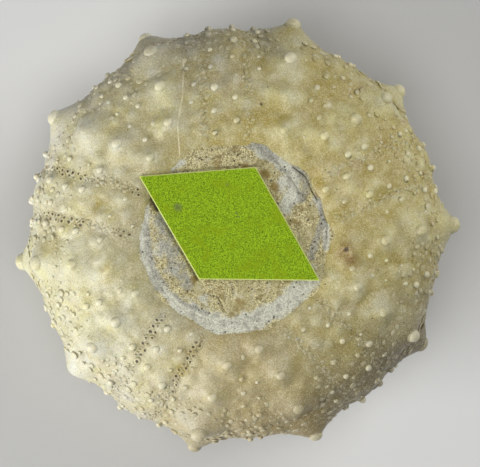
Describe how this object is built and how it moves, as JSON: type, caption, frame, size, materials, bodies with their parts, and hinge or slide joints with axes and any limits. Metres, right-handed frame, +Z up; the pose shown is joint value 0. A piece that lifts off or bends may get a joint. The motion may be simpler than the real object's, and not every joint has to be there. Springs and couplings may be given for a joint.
{
  "type": "fossil sea urchin",
  "caption": "Small fossil regular sea urchin with staggered columns of knobbed tubercles, sediment in its mouth opening and a green paper marker, resting on its apex.",
  "frame": {"origin": "under the middle of the part's box, on the plane that the worn apex rests on", "axes": "+Z up along the urchin's axis towards the mouth opening; +X to the right and +Y away, seen from the side that the paper marker's long diagonal crosses from far left to near right"},
  "size_m": [0.0194, 0.019, 0.0093],
  "materials": {
    "calcite": "waxy, slightly translucent cream and olive-tan calcite with ochre stains",
    "sediment": "matt sandy sediment with a grey-white chalky edge and dark specks",
    "green_paper": "matt bright green fibrous paper with a pale cut edge"
  },
  "bodies": {
    "root": {"test": "calcite", "sediment_fill": "sediment", "paper_marker": "green_paper"}
  },
  "joints": []
}
